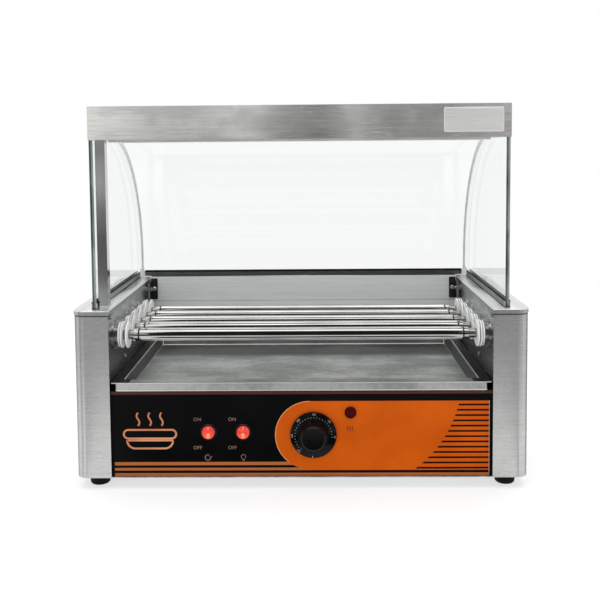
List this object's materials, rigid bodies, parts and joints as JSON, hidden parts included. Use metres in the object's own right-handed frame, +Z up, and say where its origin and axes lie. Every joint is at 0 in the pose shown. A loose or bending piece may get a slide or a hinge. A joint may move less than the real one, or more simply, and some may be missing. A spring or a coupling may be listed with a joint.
{
  "type": "hot dog roller grill",
  "caption": "Countertop roller grill with chain-driven steel rollers, a slide-out drip tray, rocker switches, a thermostat knob and a curved glass cover under a lamp hood.",
  "frame": {"origin": "on the ground, under the middle of the machine's box", "axes": "+X to the operator's right along the rollers, +Y to the back, +Z up"},
  "size_m": [0.58, 0.3026, 0.489],
  "materials": {
    "brushed_stainless": "fine brushed stainless sheet",
    "polished_stainless": "mirror-polished tube",
    "zinc_steel": "bright zinc plate",
    "chain_steel": "oiled bare steel",
    "heater_sheath": "heat-darkened sheath",
    "printed_overlay": "printed gloss film",
    "black_gloss_plastic": "moulded, semi-gloss",
    "red_lens": "clear red moulding, lit from inside",
    "dark_red_lens": "clear dark red moulding",
    "white_bush_plastic": "turned fluoropolymer",
    "white_plastic": "moulded",
    "black_plastic": "moulded or extruded",
    "brown_plastic": "moulded thermoset",
    "black_paint": "black powder coat",
    "white_paint": "white reflector paint",
    "motor_paint": "grey enamel",
    "black_rubber": "moulded",
    "white_sealant": "tooled silicone",
    "clear_glass": "clear toughened glass with ground edges",
    "lamp_glass": "opal coated tube",
    "copper": "drawn copper"
  },
  "bodies": {
    "chassis": {"base_pan": "zinc_steel", "rubber_feet": "black_rubber", "foot_screws": "zinc_steel", "left_housing_shell": "brushed_stainless", "right_housing_shell": "brushed_stainless", "left_housing_cap": "brushed_stainless", "right_housing_cap": "brushed_stainless", "left_side_plate": "brushed_stainless", "right_side_plate": "brushed_stainless", "roller_bushes": "white_bush_plastic", "bearing_flanges": "zinc_steel", "heating_elements": "heater_sheath", "heater_supports": "zinc_steel", "gear_motor": "motor_paint", "motor_bracket": "zinc_steel", "drive_chain": "chain_steel", "control_panel": "brushed_stainless", "panel_overlay": "printed_overlay", "deck_plate": "brushed_stainless", "switch_bodies": "black_gloss_plastic", "thermostat_body": "brown_plastic", "thermostat_bulb": "copper", "heat_indicator": "dark_red_lens", "rear_panel": "brushed_stainless", "rear_panel_brackets": "black_paint", "cabinet_screws": "zinc_steel", "cable_gland": "black_plastic", "terminal_block": "white_plastic", "tray_runners": "brushed_stainless", "side_glass_channels": "black_plastic", "rear_glass_channel": "black_plastic", "left_side_glass": "clear_glass", "right_side_glass": "clear_glass", "curved_glass": "clear_glass", "glass_sealant_beads": "white_sealant", "hood": "brushed_stainless", "lamp_tray": "white_paint", "lamp_tube": "lamp_glass", "lamp_holders": "white_plastic", "conduit_post": "brushed_stainless"},
    "tray": {"drip_tray": "brushed_stainless"},
    "turn_rocker": {"turn_rocker": "red_lens"},
    "light_rocker": {"light_rocker": "red_lens"},
    "knob": {"thermostat_knob": "black_gloss_plastic", "thermostat_spindle": "zinc_steel"},
    "drive": {"motor_shaft": "zinc_steel", "drive_sprocket": "chain_steel"},
    "roller_1": {"roller_1_tube": "polished_stainless", "roller_1_collars": "white_bush_plastic"},
    "roller_2": {"roller_2_tube": "polished_stainless", "roller_2_collars": "white_bush_plastic"},
    "roller_3": {"roller_3_tube": "polished_stainless", "roller_3_collars": "white_bush_plastic"},
    "roller_4": {"roller_4_tube": "polished_stainless", "roller_4_collars": "white_bush_plastic"},
    "roller_5": {"roller_5_tube": "polished_stainless", "roller_5_collars": "white_bush_plastic"}
  },
  "joints": [
    {"name": "roller_1_spin", "type": "hinge", "parent": "chassis", "child": "roller_1", "pos_m": [0, -0.09973, 0.193], "axis": [1, 0, 0], "continuous": true, "deforming": ["drive_chain"]},
    {"name": "roller_2_spin", "type": "hinge", "parent": "chassis", "child": "roller_2", "pos_m": [0, -0.06163, 0.193], "axis": [1, 0, 0], "continuous": true},
    {"name": "roller_3_spin", "type": "hinge", "parent": "chassis", "child": "roller_3", "pos_m": [0, -0.02353, 0.193], "axis": [1, 0, 0], "continuous": true},
    {"name": "roller_4_spin", "type": "hinge", "parent": "chassis", "child": "roller_4", "pos_m": [0, 0.01457, 0.193], "axis": [1, 0, 0], "continuous": true},
    {"name": "roller_5_spin", "type": "hinge", "parent": "chassis", "child": "roller_5", "pos_m": [0, 0.05267, 0.193], "axis": [1, 0, 0], "continuous": true},
    {"name": "drive_spin", "type": "hinge", "parent": "chassis", "child": "drive", "pos_m": [0.255, -0.02353, 0.08942], "axis": [1, 0, 0], "continuous": true},
    {"name": "knob_turn", "type": "hinge", "parent": "chassis", "child": "knob", "pos_m": [0.0156, -0.1327, 0.07], "axis": [0, 1, 0], "range_deg": [0, 318]},
    {"name": "turn_rocker_tip", "type": "hinge", "parent": "chassis", "child": "turn_rocker", "pos_m": [-0.1185, -0.1317, 0.0735], "axis": [1, 0, 0], "range_deg": [0, 14]},
    {"name": "light_rocker_tip", "type": "hinge", "parent": "chassis", "child": "light_rocker", "pos_m": [-0.074, -0.1317, 0.0735], "axis": [1, 0, 0], "range_deg": [0, 14]},
    {"name": "tray_slide", "type": "slide", "parent": "chassis", "child": "tray", "axis": [0, -1, 0], "range_m": [0, 0.2]}
  ],
  "couplings": [
    {"joint": "roller_2_spin", "follows": "roller_1_spin", "ratio": 1},
    {"joint": "roller_3_spin", "follows": "roller_1_spin", "ratio": 1},
    {"joint": "roller_4_spin", "follows": "roller_1_spin", "ratio": 1},
    {"joint": "roller_5_spin", "follows": "roller_1_spin", "ratio": 1},
    {"joint": "drive_spin", "follows": "roller_1_spin", "ratio": 1}
  ]
}
